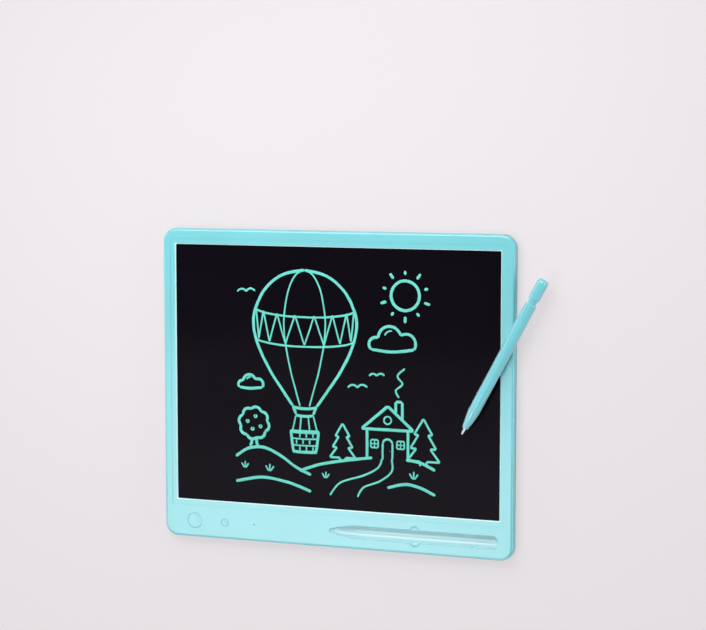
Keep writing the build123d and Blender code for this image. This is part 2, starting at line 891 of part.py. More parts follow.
def stylus_end_cap():
    """The blunt end cap, with the neck and the spigot that plugs into the barrel."""
    neck_radius = stylus_radius - neck_depth
    spigot_radius = stylus_radius - barrel_wall - stylus_fit
    spigot_start = barrel_end - spigot_length
    body = turned_on_x(
        [
            (spigot_start, 0),
            (spigot_start, spigot_radius),
            (barrel_end, spigot_radius),
            (barrel_end, neck_radius),
            (cap_start, neck_radius),
            (cap_start, stylus_radius),
            (stylus_length, stylus_radius),
            (stylus_length, 0),
        ]
    )
    rims = circle_edges(body, stylus_radius).sort_by(Axis.X)
    body = fillet(rims[-1], cap_dome_radius)
    body = fillet(circle_edges(body, stylus_radius).sort_by(Axis.X)[0], barrel_edge_round)
    return laid(body)


parts = {
    "front_bezel": front_bezel(),
    "rear_cover": rear_cover(),
    "lcd_front_film": film_sheet(crystal_top, film_top),
    "lcd_crystal_layer": film_sheet(rear_film_top, crystal_top, crystal_inset),
    "lcd_rear_film": film_sheet(board_top, rear_film_top),
    "film_tape_frame": film_tape_frame(),
    "backing_board": backing_board(),
    "lcd_flex_tail": flex_tail(),
    "flex_connector": flex_socket(),
    "circuit_board": circuit_board(),
    "circuit_board_screws": board_screws(),
    "controller_chip": slab(chip_length, chip_width, pcb_top, pcb_top + chip_height, chip_x, chip_y),
    "board_capacitors": board_capacitors(),
    "erase_key": key_cap(erase_key_diameter, erase_key_dish, erase_x),
    "erase_switch_body": switch_body(erase_x),
    "erase_switch_plunger": switch_plunger(erase_x, erase_key_travel),
    "erase_switch_dome": snap_dome(),
    "lock_key": key_cap(lock_key_diameter, lock_key_dish, lock_x),
    "lock_switch_body": switch_body(lock_x),
    "lock_switch_plunger": switch_plunger(lock_x, lock_key_travel),
    "lock_switch_spring": lock_spring(),
    "status_led": slab(led_length, led_width, pcb_top, pcb_top + led_height, led_x, key_y),
    "led_light_pipe": light_pipe(),
    "coin_cell": coin_cell(),
    "positive_contact": positive_contact(),
    "negative_contact": negative_contact(),
    "battery_door": battery_door(),
    "battery_door_screw": door_screw(),
    "case_screws": case_screws(),
    "rubber_feet": rubber_feet(),
    "stylus_barrel": stylus_barrel(),
    "stylus_nib": stylus_nib(),
    "stylus_end_cap": stylus_end_cap(),
}

os.makedirs("parts", exist_ok=True)
for name, piece in parts.items():
    piece.label = name
    export_step(piece, f"parts/{name}.step")
    print(name, len(piece.solids()), round(piece.volume, 2))
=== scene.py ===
import json
import math

import bmesh
import bpy
from mathutils import Matrix, Vector


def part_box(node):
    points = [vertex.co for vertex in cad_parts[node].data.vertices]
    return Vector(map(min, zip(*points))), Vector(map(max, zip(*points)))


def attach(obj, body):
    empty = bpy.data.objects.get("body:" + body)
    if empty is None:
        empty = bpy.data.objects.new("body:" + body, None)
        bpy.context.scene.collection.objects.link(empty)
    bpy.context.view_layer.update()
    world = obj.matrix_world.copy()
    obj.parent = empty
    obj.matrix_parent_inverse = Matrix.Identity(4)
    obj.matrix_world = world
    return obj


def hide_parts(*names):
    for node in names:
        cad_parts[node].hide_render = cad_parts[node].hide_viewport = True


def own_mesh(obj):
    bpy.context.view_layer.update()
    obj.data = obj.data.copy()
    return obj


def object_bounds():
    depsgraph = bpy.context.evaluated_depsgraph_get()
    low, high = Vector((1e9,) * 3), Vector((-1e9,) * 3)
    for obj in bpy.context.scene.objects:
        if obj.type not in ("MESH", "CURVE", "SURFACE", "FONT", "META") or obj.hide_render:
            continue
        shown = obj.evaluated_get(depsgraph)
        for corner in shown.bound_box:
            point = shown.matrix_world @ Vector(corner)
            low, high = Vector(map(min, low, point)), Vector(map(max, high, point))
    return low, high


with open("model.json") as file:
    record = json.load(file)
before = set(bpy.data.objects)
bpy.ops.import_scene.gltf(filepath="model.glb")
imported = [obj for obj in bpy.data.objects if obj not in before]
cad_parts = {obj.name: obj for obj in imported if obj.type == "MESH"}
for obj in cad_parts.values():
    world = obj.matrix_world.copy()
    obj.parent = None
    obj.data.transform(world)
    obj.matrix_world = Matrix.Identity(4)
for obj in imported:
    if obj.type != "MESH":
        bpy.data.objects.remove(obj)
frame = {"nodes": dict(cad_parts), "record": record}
cad_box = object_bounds()
case_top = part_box("front_bezel")[1].z

MM = 0.001

# The camera, in metres, solved from the outline and the screen window
camera_place = Vector((0.5919, 0.2311, 1.5765))
camera_aim = Vector((0.01852, 0.06794, 0.009))
sensor_width = 36
image_width = 706
focal_pixels = 1914
farthest_seen = 20

# Colours of the pieces, linear
turquoise = (0.128, 0.536, 0.590)
# Painted light: the stylus slot's walls and floor paler than the case, over their shade
slot_painted_light = (0.460, 0.745, 0.785)
# Painted highlight along the screen window's chamfer
window_painted_highlight = (0.600, 0.900, 0.930)
key_turquoise = (0.320, 0.710, 0.770)
stylus_turquoise = (0.106, 0.550, 0.635)
screen_black = (0.0030, 0.0020, 0.0042)
ink_green = (0.145, 0.660, 0.560)
nib_white = (0.80, 0.81, 0.82)
moulding_black = (0.022, 0.022, 0.024)
rubber_grey = (0.05, 0.05, 0.052)
ceramic_tan = (0.50, 0.36, 0.22)
steel_grey = (0.60, 0.60, 0.60)
nickel_grey = (0.75, 0.74, 0.70)
cell_grey = (0.66, 0.66, 0.65)
acrylic_clear = (0.9, 0.95, 0.95)
film_clear = (0.85, 0.87, 0.87)
tape_black = (0.02, 0.02, 0.02)
sheet_white = (0.75, 0.75, 0.73)
flex_amber = (0.52, 0.24, 0.05)
mask_green = (0.010, 0.105, 0.040)
track_green = (0.030, 0.210, 0.080)
pad_tin = (0.62, 0.60, 0.55)

# The floor, in metres, with the share of its colour that it scatters and the glow that the camera sees
floor_colour = (1.0, 0.945, 0.98)
floor_half = 4
floor_share = 0.28
floor_glow = 0.53

# The drawing on the screen, in millimetres
outline_width = 2.7
middle_width = 1.8
detail_width = 1.5
ink_flatness = 0.045
ink_step = 0.8
ink_wobble = 0.9
ink_wobble_scale = 55
ink_least_press = 0.8
ink_most_press = 1.2
ink_seed = 11
bead_sides = 8
bead_taper_limit = 0.96

# Painted light inside the stylus slot: a paler colour that lifts the shade of its walls and floor, in
# millimetres
slot_mask_nose = 32
slot_mask_end = 10
slot_mask_width = 4.2
slot_mask_start = 0.1
slot_mask_depth = 0.5

# A painted highlight on the chamfer round the screen window, in millimetres
window_low = (-152.4, -106.2)
window_high = (152.4, 126.8)
window_edge_width = 0.8

# The ridges that a fingertip pushes on the battery door, in millimetres
ridge_count = 5
ridge_length = 13
ridge_width = 0.9
ridge_rise = 0.3
ridge_pitch = 1.7
ridge_edge_gap = 8.5
ridge_points = 48

# The springs under the keys, in millimetres and degrees
weld_reach = 0.0001
sharp_angle = 30

# The studio, in metres: the world's glow, and each light's name, place, aim, width, height, glow and fan
world_glow = 0.14
lights = [
    ("front_softbox", (0.5, 0.4, 1.75), (0, 0, 0), 1, 1, 0.5, 180),
    ("far_softbox", (-0.08, 0.5, 0.5), (0, 0.12, 0), 0.9, 0.5, 4.7, 100),
    ("chin_softbox", (-0.563, -0.615, 1.5), (-0.563, -0.615, 0), 0.9, 0.37, 4.4, 180),
    ("chin_softbox_fade", (-0.563, -0.375, 1.5), (-0.563, -0.375, 0), 0.9, 0.11, 4.4, 180),
    ("chin_softbox_edge", (-0.563, -0.235, 1.5), (-0.563, -0.235, 0), 0.9, 0.17, 2.7, 180),
    ("left_rim_light", (-1.3, 0, 0.35), (0, 0, 0.01), 1.4, 0.4, 2.5, 180),
    ("right_rim_light", (1.3, 0, 0.35), (0, 0, 0.01), 1.4, 0.4, 4, 180),
    ("near_rim_light", (0, -1.3, 0.35), (0, 0, 0.01), 1.4, 0.4, 3, 180),
    ("far_rim_light", (0, 1.3, 0.35), (0, 0, 0.01), 1.4, 0.4, 2, 180),
]


def add_node(tree, kind, inputs=(), **settings):
    """A node of one kind with its settings, and its inputs given as values or as sockets to link from."""
    node = tree.nodes.new(kind)
    for name, value in settings.items():
        setattr(node, name, value)
    for name, value in dict(inputs).items():
        if isinstance(value, bpy.types.NodeSocket):
            tree.links.new(value, node.inputs[name])
        else:
            node.inputs[name].default_value = value
    return node


def calculate(tree, operation, *values):
    """A sum of one step on numbers or sockets."""
    return add_node(tree, "ShaderNodeMath", dict(enumerate(values)), operation=operation).outputs[0]


def new_material(name, **values):
    """A material with one shader, whose even values are set on the shader's own sockets."""
    material = bpy.data.materials.new(name)
    material.use_nodes = True
    shader = material.node_tree.nodes["Principled BSDF"]
    for socket, value in values.items():
        shader.inputs[socket.replace("_", " ")].default_value = value
    return material, material.node_tree, shader


def place_on_piece(tree, stretch=(1, 1, 1)):
    """The coordinates that a pattern follows, fixed to the piece and stretched if asked."""
    place = add_node(tree, "ShaderNodeTexCoord").outputs["Object"]
    if stretch == (1, 1, 1):
        return place
    return add_node(tree, "ShaderNodeMapping", {"Vector": place, "Scale": stretch}).outputs["Vector"]


def noise(tree, scale, detail=2, roughness=0.5, stretch=(1, 1, 1)):
    """A soft random pattern, mostly between 0.35 and 0.65, that repeats nowhere."""
    place = place_on_piece(tree, stretch)
    inputs = {"Vector": place, "Scale": scale, "Detail": detail, "Roughness": roughness}
    return add_node(tree, "ShaderNodeTexNoise", inputs).outputs["Fac"]


def spread(tree, pattern, low, high, start=0.35, end=0.65):
    """A pattern stretched so that start and end become a low and a high value."""
    inputs = {"Value": pattern, "From Min": start, "From Max": end, "To Min": low, "To Max": high}
    return add_node(tree, "ShaderNodeMapRange", inputs).outputs["Result"]


def blend_colours(tree, share, first, second):
    """A colour that goes from the first to the second with a share; each is a colour or a socket."""
    colours = [c if isinstance(c, bpy.types.NodeSocket) else (*c, 1) for c in (first, second)]
    inputs = {0: share, 6: colours[0], 7: colours[1]}
    return add_node(tree, "ShaderNodeMix", inputs, data_type="RGBA").outputs[2]


def scaled(colour, factor):
    """A colour made lighter or darker."""
    return tuple(channel * factor for channel in colour)


def raise_surface(tree, shader, pattern, depth):
    """Lets the surface rise and fall with a pattern, by a depth in metres."""
    node = add_node(tree, "ShaderNodeBump", {"Height": pattern, "Distance": depth})
    tree.links.new(node.outputs["Normal"], shader.inputs["Normal"])


def geometry_tree(name, sizes):
    """A tree for repeated or drawn geometry, with a named input for each size, and its input sockets."""
    tree = bpy.data.node_groups.new(name, "GeometryNodeTree")
    tree.interface.new_socket("Geometry", in_out="INPUT", socket_type="NodeSocketGeometry")
    for size in sizes:
        tree.interface.new_socket(size, in_out="INPUT", socket_type="NodeSocketFloat")
    tree.interface.new_socket("Geometry", in_out="OUTPUT", socket_type="NodeSocketGeometry")
    return tree, tree.nodes.new("NodeGroupInput").outputs


def end_tree(tree, geometry, material):
    """Ends a tree in whole geometry that carries a material."""
    whole = add_node(tree, "GeometryNodeRealizeInstances", {"Geometry": geometry})
    smooth = add_node(tree, "GeometryNodeSetShadeSmooth", {"Geometry": whole.outputs[0]})
    inputs = {"Geometry": smooth.outputs[0], "Material": material}
    dressed = add_node(tree, "GeometryNodeSetMaterial", inputs)
    add_node(tree, "NodeGroupOutput", {"Geometry": dressed.outputs[0]})


def round_bead(tree, curve, half_width, flatness, swell=1):
    """A bead along a curve with round ends, half as wide as it is told and flatter by a share."""
    along = add_node(tree, "GeometryNodeSplineParameter").outputs["Length"]
    whole = add_node(tree, "GeometryNodeSplineLength").outputs["Length"]
    from_end = calculate(tree, "MINIMUM", along, calculate(tree, "SUBTRACT", whole, along))
    missing = calculate(tree, "SUBTRACT", 1, calculate(tree, "DIVIDE", from_end, half_width))
    missing = calculate(tree, "MINIMUM", calculate(tree, "MAXIMUM", missing, 0), bead_taper_limit)
    taper = calculate(tree, "SQRT", calculate(tree, "SUBTRACT", 1, calculate(tree, "POWER", missing, 2)))
    radius = calculate(tree, "MULTIPLY", calculate(tree, "MULTIPLY", half_width, taper), swell)
    inputs = {"Resolution": bead_sides, "Radius": 1}
    ring = add_node(tree, "GeometryNodeCurvePrimitiveCircle", inputs).outputs[0]
    flat = add_node(tree, "ShaderNodeCombineXYZ", {"X": 1, "Y": flatness, "Z": 1}).outputs[0]
    ring = add_node(tree, "GeometryNodeTransform", {"Geometry": ring, "Scale": flat}).outputs[0]
    curve = add_node(tree, "GeometryNodeSetCurveNormal", {"Curve": curve}, mode="Z_UP").outputs[0]
    inputs = {"Curve": curve, "Profile Curve": ring, "Scale": radius, "Fill Caps": True}
    return add_node(tree, "GeometryNodeCurveToMesh", inputs).outputs[0]


def add_piece(name, mesh, body):
    """A piece in the scene that moves with a body."""
    piece = bpy.data.objects.new(name, mesh)
    bpy.context.scene.collection.objects.link(piece)
    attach(piece, body)
    return piece


def grow(name, base, tree, sizes, body):
    """Runs a tree on a base mesh with its sizes set, and keeps the result as a plain piece."""
    source = bpy.data.objects.new(name + "_base", base)
    modifier = source.modifiers.new("grow", "NODES")
    modifier.node_group = tree
    for item in tree.interface.items_tree:
        if item.in_out == "INPUT" and item.name in sizes:
            modifier[item.identifier] = float(sizes[item.name])
    bpy.context.scene.collection.objects.link(source)
    ready = source.evaluated_get(bpy.context.evaluated_depsgraph_get())
    mesh = bpy.data.meshes.new_from_object(ready)
    bpy.data.objects.remove(source)
    return add_piece(name, mesh, body)


def arc(x, y, radius, start, end, rise=1, steps=14):
    """Points of a round stretch between two angles in degrees, taller or flatter if a rise is given."""
    angles = [math.radians(start + (end - start) * step / steps) for step in range(steps + 1)]
    return [(x + radius * math.cos(angle), y + radius * rise * math.sin(angle)) for angle in angles]


def straight_lines(points, width):
    """A stroke for each side of an angular outline, so that its corners stay sharp."""
    return [([first, second], width) for first, second in zip(points, points[1:])]


def balloon(x, y, radius):
    """The balloon: its envelope with seams, a belt of zigzags, its skirt, ropes and a wicker basket."""
    seam_line = [(0, 1), (0.42, 0.91), (0.76, 0.65), (0.96, 0.28), (1, -0.04)]
    seam_line += [(0.9, -0.42), (0.67, -0.86), (0.42, -1.22), (0.23, -1.48)]
    strokes = []
    for seam in (-1, -0.4, 0.4, 1):
        width = outline_width if abs(seam) == 1 else detail_width
        places = [(x + seam * radius * across, y + radius * up) for across, up in seam_line]
        strokes.append((places, width))
    belts = []
    for height in (0.3, -0.24):
        belt = arc(x, y + height * radius, 0.97 * radius, 180, 360, rise=0.16, steps=16)
        belts.append(belt)
        strokes.append((belt, middle_width))
    upper, lower = belts
    teeth = [upper[step] if step % 2 else lower[step] for step in range(1, len(upper) - 1)]
    strokes += straight_lines([(a, b + 0.03 * radius) for a, b in teeth], detail_width)
    skirt_top = y - 1.48 * radius
    skirt_low = skirt_top - 0.15 * radius
    top_half, low_half = 0.23 * radius, 0.17 * radius
    strokes.append((arc(x, skirt_top, top_half, 180, 360, rise=0.2), outline_width))
    strokes.append((arc(x, skirt_low, low_half, 180, 360, rise=0.2), outline_width))
    for side in (-1, 1):
        skirt_side = [(x + side * top_half, skirt_top), (x + side * low_half, skirt_low)]
        strokes.append((skirt_side, outline_width))
    rim = skirt_low - 0.32 * radius
    rim_half, foot_half = 0.27 * radius, 0.21 * radius
    foot = rim - 0.37 * radius
    for share in (-1, -0.4, 0.4, 1):
        rope = [(x + share * low_half, skirt_low - 1), (x + share * rim_half * 0.9, rim)]
        strokes.append((rope, detail_width))
    strokes.append(([(x - rim_half - 1, rim), (x + rim_half + 1, rim)], outline_width + 0.8))
    basket = [(x - rim_half, rim), (x - foot_half - 0.6, foot + 2), (x - foot_half + 2, foot)]
    basket += [(x + foot_half - 2, foot), (x + foot_half + 0.6, foot + 2), (x + rim_half, rim)]
    strokes.append((basket, outline_width))
    for row in (1, 2):
        level = rim + (foot - rim) * row / 3
        half = rim_half + (foot_half - rim_half) * row / 3
        strokes.append(([(x - half, level), (x, level - 0.5), (x + half, level)], detail_width))
    for row in range(3):
        high = rim + (foot - rim) * row / 3
        low = rim + (foot - rim) * (row + 1) / 3
        for column in range(3):
            place = x + (column - 1 + 0.25 * (-1) ** row) * 0.6 * foot_half
            strokes.append(([(place, high - 1), (place, low + 0.8)], detail_width))
    return strokes


def sun(x, y, radius, rays):
    """A sun with rays of two lengths."""
    strokes = [(arc(x, y, radius, 80, 445, steps=28), outline_width)]
    for ray in range(rays):
        angle = 2 * math.pi * (ray + 0.5) / rays
        reaches = (1.4 * radius, (1.85 if ray % 2 else 1.68) * radius)
        ends = [(x + reach * math.cos(angle), y + reach * math.sin(angle)) for reach in reaches]
        strokes.append((ends, outline_width))
    return strokes


def bump(first, last, bulge, steps=10):
    """Points of a round stretch from one point to another, bulging left by a share of its chord."""
    chord = Vector(last) - Vector(first)
    sagitta = bulge * chord.length
    radius = (chord.length_squared / 4 + sagitta**2) / (2 * sagitta)
    outward = Vector((-chord.y, chord.x)).normalized()
    centre = (Vector(first) + Vector(last)) / 2 - outward * (radius - sagitta)
    half_turn = math.degrees(math.acos((radius - sagitta) / radius))
    middle = math.degrees(math.atan2(outward.y, outward.x))
    return arc(centre.x, centre.y, radius, middle + half_turn, middle - half_turn, steps=steps)


def cloud(x, y, width):
    """A cloud of three bumps over a flat underside."""
    meets = [(-0.40, 0), (-0.27, 0.22), (0.17, 0.27), (0.42, 0.02)]
    places = [(x + a * width, y + b * width) for a, b in meets]
    strokes = [(bump(first, last, 0.42), outline_width) for first, last in zip(places, places[1:])]
    strokes.append(([places[-1], (x, y - 0.03 * width), places[0]], outline_width))
    strokes.append((arc(x - 0.02 * width, y + 0.22 * width, 0.13 * width, 160, 80), detail_width))
    return strokes


def round_tree(x, y, crown, bumps):
    """An apple tree: a crown of bumps, and a trunk that widens to the ground."""
    turns = [2 * math.pi * (step + 0.25) / bumps for step in range(bumps + 1)]
    meets = [(x + crown * math.cos(turn), y + crown * math.sin(turn)) for turn in turns]
    strokes = [(bump(last, first, 0.34), outline_width) for first, last in zip(meets, meets[1:])]
    for side in (-1, 1):
        trunk = [(x + side * 0.2 * crown, y - 1.08 * crown), (x + side * 0.2 * crown, y - 1.45 * crown)]
        trunk.append((x + side * 0.34 * crown, y - 1.68 * crown))
        strokes.append((trunk, outline_width))
    for across, up in ((-0.5, 0.12), (0.12, 0.5), (0.5, -0.2), (-0.12, -0.42)):
        apple = arc(x + across * crown, y + up * crown, 0.1 * crown, 90, 455, steps=8)
        strokes.append((apple, detail_width))
    return strokes


def fir_tree(x, y, height):
    """A fir with three tiers of boughs on a short trunk, standing at y."""
    boughs = [(0, 1), (0.2, 0.66), (0.1, 0.66), (0.28, 0.37), (0.15, 0.37), (0.36, 0.1)]
    trunk = [(0.07, 0.1), (0.07, 0)]
    strokes = []
    for side in (-1, 1):
        half = [(x + side * across * height, y + up * height) for across, up in boughs + trunk]
        strokes += straight_lines(half, detail_width + 0.5)
    return strokes


def window_pane(x, y, half):
    """A square window with a cross of bars."""
    corners = [(x - half, y - half), (x + half, y - half), (x + half, y + half), (x - half, y + half)]
    strokes = straight_lines([*corners, corners[0]], detail_width)
    strokes.append(([(x - half, y), (x + half, y)], 0.7 * detail_width))
    strokes.append(([(x, y - half), (x, y + half)], 0.7 * detail_width))
    return strokes


def house(x, y, width):
    """A cottage seen from the front: walls, roof, chimney with smoke, door and windows."""
    left, right, eaves = x - width / 2, x + width / 2, y + 0.7 * width
    strokes = [([(left, y), (left, eaves)], outline_width), ([(right, y), (right, eaves)], outline_width)]
    overhang = 0.13 * width
    roof = [(left - overhang, eaves), (x, eaves + 0.55 * width), (right + overhang, eaves)]
    strokes += straight_lines([*roof, roof[0]], outline_width)
    chimney_shares = ((0.2, 0.38), (0.2, 0.66), (0.36, 0.66), (0.36, 0.23))
    chimney = [(x + a * width, eaves + b * width) for a, b in chimney_shares]
    strokes += straight_lines(chimney, outline_width)
    smoke_shares = ((0.28, 0.76), (0.2, 0.92), (0.36, 1.08), (0.24, 1.26), (0.42, 1.44))
    smoke = [(x + a * width, eaves + b * width) for a, b in smoke_shares]
    strokes.append((smoke, middle_width))
    door_half, door_rise = 0.12 * width, 0.36 * width
    door = [(x - door_half, y), (x - door_half, y + door_rise)]
    door += arc(x, y + door_rise, door_half, 170, 10, steps=6)
    door += [(x + door_half, y + door_rise), (x + door_half, y)]
    strokes.append((door, middle_width))
    door_knob = [(x + 0.05 * width, y + 0.2 * width), (x + 0.07 * width, y + 0.2 * width)]
    strokes.append((door_knob, detail_width))
    strokes.append((arc(x, eaves + 0.22 * width, 0.09 * width, 90, 455), detail_width))
    for side in (-1, 1):
        strokes += window_pane(x + side * 0.32 * width, y + 0.36 * width, 0.09 * width)
    return strokes


def bird(x, y, span):
    """A gliding bird, two wings in one sweep each."""
    return [
        (bump((x - span / 2, y - 0.06 * span), (x, y - 0.04 * span), 0.3), middle_width),
        (bump((x, y - 0.04 * span), (x + span / 2, y), 0.3), middle_width),
    ]


def tuft(x, y, height):
    """Three blades of grass."""
    leans = (-0.55, 0.05, 0.6)
    reaches = (0.75, 1, 0.7)
    return [
        ([(x + 0.2 * lean * height, y), (x + lean * height, y + reach * height)], detail_width)
        for lean, reach in zip(leans, reaches)
    ]


def landscape():
    """The lines of the hills, and the path that winds down from the house."""
    return [
        ([(-95, -64), (-82, -56), (-66, -55), (-50, -62), (-36, -71), (-22, -77)], outline_width),
        ([(-33, -74), (-14, -67), (10, -62), (36, -58)], outline_width),
        ([(67, -58), (80, -60), (94, -66)], outline_width),
        ([(-95, -87), (-70, -82), (-44, -85), (-22, -92)], outline_width),
        ([(45, -58), (41, -67), (26, -75), (6, -82), (-4, -94)], middle_width),
        ([(54, -58), (54, -69), (44, -78), (28, -85), (22, -94)], middle_width),
        ([(50, -84), (66, -80), (80, -82), (94, -88)], outline_width),
    ]


def screen_drawing(material):
    """A balloon over hills, as a child draws it: flat strokes with round ends and uneven lines."""
    strokes = balloon(-28, 57, 49) + sun(66, 86, 13, 10) + cloud(54, 38, 48) + cloud(-80, -1, 27)
    strokes += round_tree(-77, -33, 12.5, 8) + house(50, -59, 38)
    strokes += fir_tree(83, -63, 42) + fir_tree(8, -63, 34)
    strokes += bird(22, 4, 18) + bird(40, 15, 14) + bird(-84, 86, 17)
    strokes += tuft(-62, -76, 7) + tuft(-86, -74, 6) + tuft(-8, -79, 6) + tuft(74, -75, 7) + landscape()
    film_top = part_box("lcd_front_film")[1].z
    points, edges, half_widths = [], [], []
    for line, width in strokes:
        first = len(points)
        points += [(x * MM, y * MM, film_top) for x, y in line]
        edges += [(first + step, first + step + 1) for step in range(len(line) - 1)]
        half_widths += [width / 2 * MM] * len(line)
    base = bpy.data.meshes.new("drawing_lines")
    base.from_pydata(points, edges, [])
    base.attributes.new("half_width", "FLOAT", "POINT").data.foreach_set("value", half_widths)
    sizes = {
        "Flatness": ink_flatness,
        "Step": ink_step * MM,
        "Wobble": ink_wobble * MM,
        "Wobble Scale": ink_wobble_scale,
        "Seed": ink_seed,
    }
    tree, size = geometry_tree("drawn_strokes", sizes)
    curve = add_node(tree, "GeometryNodeMeshToCurve", {"Mesh": size["Geometry"]}).outputs[0]
    spline = add_node(tree, "GeometryNodeCurveSplineType", {"Curve": curve}, spline_type="CATMULL_ROM")
    inputs = {"Curve": spline.outputs[0], "Length": size["Step"]}
    curve = add_node(tree, "GeometryNodeResampleCurve", inputs, mode="LENGTH").outputs[0]
    place = add_node(tree, "GeometryNodeInputPosition").outputs[0]
    inputs = {"Vector": place, "W": size["Seed"], "Scale": size["Wobble Scale"], "Detail": 2}
    wave = add_node(tree, "ShaderNodeTexNoise", inputs, noise_dimensions="4D")
    inputs = {0: wave.outputs["Color"], 1: (0.5, 0.5, 0.5)}
    shift = add_node(tree, "ShaderNodeVectorMath", inputs, operation="SUBTRACT").outputs[0]
    inputs = {0: shift, 1: (1, 1, 0)}
    shift = add_node(tree, "ShaderNodeVectorMath", inputs, operation="MULTIPLY").outputs[0]
    inputs = {0: shift, "Scale": size["Wobble"]}
    shift = add_node(tree, "ShaderNodeVectorMath", inputs, operation="SCALE").outputs[0]
    curve = add_node(tree, "GeometryNodeSetPosition", {"Geometry": curve, "Offset": shift}).outputs[0]
    half = add_node(tree, "GeometryNodeInputNamedAttribute", {"Name": "half_width"}).outputs[0]
    press = spread(tree, wave.outputs["Fac"], ink_least_press, ink_most_press, start=0, end=1)
    bead = round_bead(tree, curve, half, size["Flatness"], press)
    end_tree(tree, bead, material)
    grow("screen_drawing", base, tree, sizes, "tablet")


def door_ridges(material):
    """The row of small ridges on the battery door, beside its screw, where a fingertip slides it."""
    low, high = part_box("battery_door")
    base = bpy.data.meshes.new("ridge_row_place")
    base.from_pydata([(high.x - ridge_edge_gap * MM, (low.y + high.y) / 2, low.z)], [], [])
    sizes = {
        "Count": ridge_count,
        "Pitch": ridge_pitch * MM,
        "Half Length": ridge_length / 2 * MM,
        "Half Width": ridge_width / 2 * MM,
        "Flatness": 2 * ridge_rise / ridge_width,
    }
    tree, size = geometry_tree("ridge_row", sizes)
    first = calculate(tree, "MULTIPLY", size["Half Length"], -1)
    start = add_node(tree, "ShaderNodeCombineXYZ", {"Y": first}).outputs[0]
    end = add_node(tree, "ShaderNodeCombineXYZ", {"Y": size["Half Length"]}).outputs[0]
    line = add_node(tree, "GeometryNodeCurvePrimitiveLine", {"Start": start, "End": end}).outputs[0]
    line = add_node(tree, "GeometryNodeResampleCurve", {"Curve": line, "Count": ridge_points}).outputs[0]
    ridge = round_bead(tree, line, size["Half Width"], size["Flatness"])
    pitch = calculate(tree, "MULTIPLY", size["Pitch"], -1)
    step = add_node(tree, "ShaderNodeCombineXYZ", {"X": pitch}).outputs[0]
    row = add_node(tree, "GeometryNodeMeshLine", {"Count": size["Count"], "Offset": step}).outputs[0]
    row = add_node(tree, "GeometryNodeInstanceOnPoints", {"Points": row, "Instance": ridge}).outputs[0]
    inputs = {"Points": size["Geometry"], "Instance": row}
    placed = add_node(tree, "GeometryNodeInstanceOnPoints", inputs).outputs[0]
    end_tree(tree, placed, material)
    grow("battery_door_ridges", base, tree, sizes, "rear_door")


def flexing_spring(node, material):
    """A spring under a plunger, in place of its rigid node, as a welded and smoothed copy of it."""
    solid = frame["nodes"][node].data
    shape = bmesh.new()
    for face in solid.polygons:
        shape.faces.new([shape.verts.new(solid.vertices[corner].co) for corner in face.vertices])
    bmesh.ops.remove_doubles(shape, verts=shape.verts, dist=weld_reach * MM)
    mesh = bpy.data.meshes.new(node + "_flexing")
    shape.to_mesh(mesh)
    shape.free()
    mesh.shade_smooth()
    mesh.set_sharp_from_angle(angle=math.radians(sharp_angle))
    mesh.materials.append(material)
    spring = add_piece(node + "_flexing", mesh, "tablet")
    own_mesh(spring)
    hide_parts(node)


def inside_rectangle(tree, low, high):
    """A mask that is 1 between two corners, seen from above."""
    place = add_node(tree, "ShaderNodeSeparateXYZ", {"Vector": place_on_piece(tree)}).outputs
    along = calculate(tree, "ABSOLUTE", calculate(tree, "SUBTRACT", place["X"], (low.x + high.x) / 2))
    across = calculate(tree, "ABSOLUTE", calculate(tree, "SUBTRACT", place["Y"], (low.y + high.y) / 2))
    within_length = calculate(tree, "LESS_THAN", along, (high.x - low.x) / 2)
    within_width = calculate(tree, "LESS_THAN", across, (high.y - low.y) / 2)
    return calculate(tree, "MULTIPLY", within_length, within_width)


def slot_painted_light_mask(tree):
    """A mask that is 1 on the walls and the bottom of the stylus slot, below its upper edge, where paler
    colour is painted over their shade.
    """
    openings = {opening["name"]: opening["box_m"] for opening in frame["record"]["physics"]["openings"]}
    low, high = (Vector(corner) for corner in openings["stylus_slot"])
    low -= Vector((slot_mask_nose, slot_mask_width, 0)) * MM
    high += Vector((slot_mask_end, slot_mask_width, 0)) * MM
    height = add_node(tree, "ShaderNodeSeparateXYZ", {"Vector": place_on_piece(tree)}).outputs["Z"]
    deep, shallow = case_top - slot_mask_depth * MM, case_top - slot_mask_start * MM
    below_edge = spread(tree, height, 1, 0, start=deep, end=shallow)
    return calculate(tree, "MULTIPLY", inside_rectangle(tree, low, high), below_edge)


def window_highlight_mask(tree):
    """A mask that is 1 on the chamfer round the screen window, where a highlight is painted."""
    reach = Vector((window_edge_width, window_edge_width))
    return inside_rectangle(tree, (Vector(window_low) - reach) * MM, (Vector(window_high) + reach) * MM)


def moulded_plastic(name, colour, roughness, grain, grain_depth, patches=(), **values):
    """Moulded plastic: faint clouds in its colour, haze in its gloss, a grain, and patches of painted
    light by mask.
    """
    material, tree, shader = new_material(name, **values)
    clouds = spread(tree, noise(tree, scale=16, detail=3), 0, 1)
    mixed = blend_colours(tree, clouds, scaled(colour, 0.97), scaled(colour, 1.02))
    for mask, patch_colour in patches:
        mixed = blend_colours(tree, mask(tree), mixed, patch_colour)
    tree.links.new(mixed, shader.inputs["Base Color"])
    haze = spread(tree, noise(tree, scale=60, detail=1), roughness - 0.01, roughness + 0.01)
    tree.links.new(haze, shader.inputs["Roughness"])
    raise_surface(tree, shader, noise(tree, scale=grain, detail=2), grain_depth)
    return material


def screen_film_finish():
    """The dark face of the screen: deep, smooth, a breath of violet, and hairlines from the stylus."""
    material, tree, shader = new_material("screen_film_dark", Specular_IOR_Level=0.02)
    depth = spread(tree, noise(tree, scale=9, detail=3), 0, 1)
    mixed = blend_colours(tree, depth, screen_black, scaled(screen_black, 1.35))
    tree.links.new(mixed, shader.inputs["Base Color"])
    hairlines = noise(tree, scale=35, detail=5, roughness=0.75, stretch=(14, 1, 1))
    tree.links.new(spread(tree, hairlines, 0.1, 0.22, start=0.5, end=0.75), shader.inputs["Roughness"])
    return material


